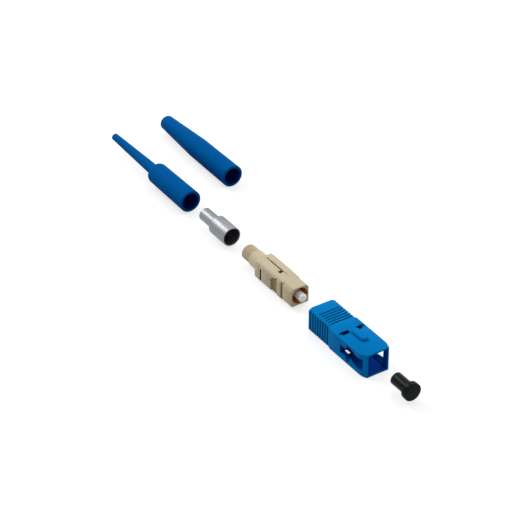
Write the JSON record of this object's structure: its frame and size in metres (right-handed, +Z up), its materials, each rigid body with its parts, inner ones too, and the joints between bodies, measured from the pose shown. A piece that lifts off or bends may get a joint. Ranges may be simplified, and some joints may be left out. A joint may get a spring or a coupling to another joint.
{
  "type": "sc fibre connector",
  "caption": "Push-pull fibre optic plug laid out as a kit: boots, crimp sleeve, keyed plug frame with ceramic ferrule, ribbed outer housing and dust cap.",
  "frame": {"origin": "centre of the ferrule's end face", "axes": "+X along the connector's axis, the way the plug mates; +Z up, the key side"},
  "size_m": [0.1522, 0.0258, 0.0083],
  "materials": {
    "ceramic": "polished white ceramic",
    "nickel": "turned nickel-plated brass",
    "tube_plastic": "translucent white tube",
    "spring_steel": "bright spring wire",
    "beige_plastic": "satin moulded beige",
    "sleeve_metal": "satin drawn metal",
    "boot_elastomer": "satin dark blue elastomer",
    "blue_plastic": "satin moulded bright blue",
    "black_elastomer": "satin black elastomer"
  },
  "bodies": {
    "frame": {"plug_frame": "beige_plastic", "rear_body": "beige_plastic", "ferrule_spring": "spring_steel", "cable_boot": "boot_elastomer"},
    "ferrule_set": {"ferrule": "ceramic", "ferrule_flange": "nickel", "guide_tube": "tube_plastic"},
    "sleeve": {"crimp_sleeve": "sleeve_metal"},
    "boot": {"fibre_boot": "boot_elastomer"},
    "housing": {"outer_housing": "blue_plastic"},
    "cap": {"dust_cap": "black_elastomer"}
  },
  "joints": [
    {"name": "ferrule_press", "type": "slide", "parent": "frame", "child": "ferrule_set", "axis": [-1, 0, 0], "range_m": [0, 0.0015], "stiffness_N_per_m": 3000, "springref_m": -0.0018, "deforming": ["ferrule_spring"]},
    {"name": "sleeve_slide", "type": "slide", "parent": "frame", "child": "sleeve", "axis": [1, 0, 0], "range_m": [0, 0.01635]},
    {"name": "boot_slide", "type": "slide", "parent": "sleeve", "child": "boot", "axis": [1, 0, 0], "range_m": [0, 0.013]},
    {"name": "housing_slide", "type": "slide", "parent": "frame", "child": "housing", "axis": [-1, 0, 0], "range_m": [0, 0.0368]},
    {"name": "cap_slide", "type": "slide", "parent": "ferrule_set", "child": "cap", "axis": [-1, 0, 0], "range_m": [0, 0.048]}
  ]
}
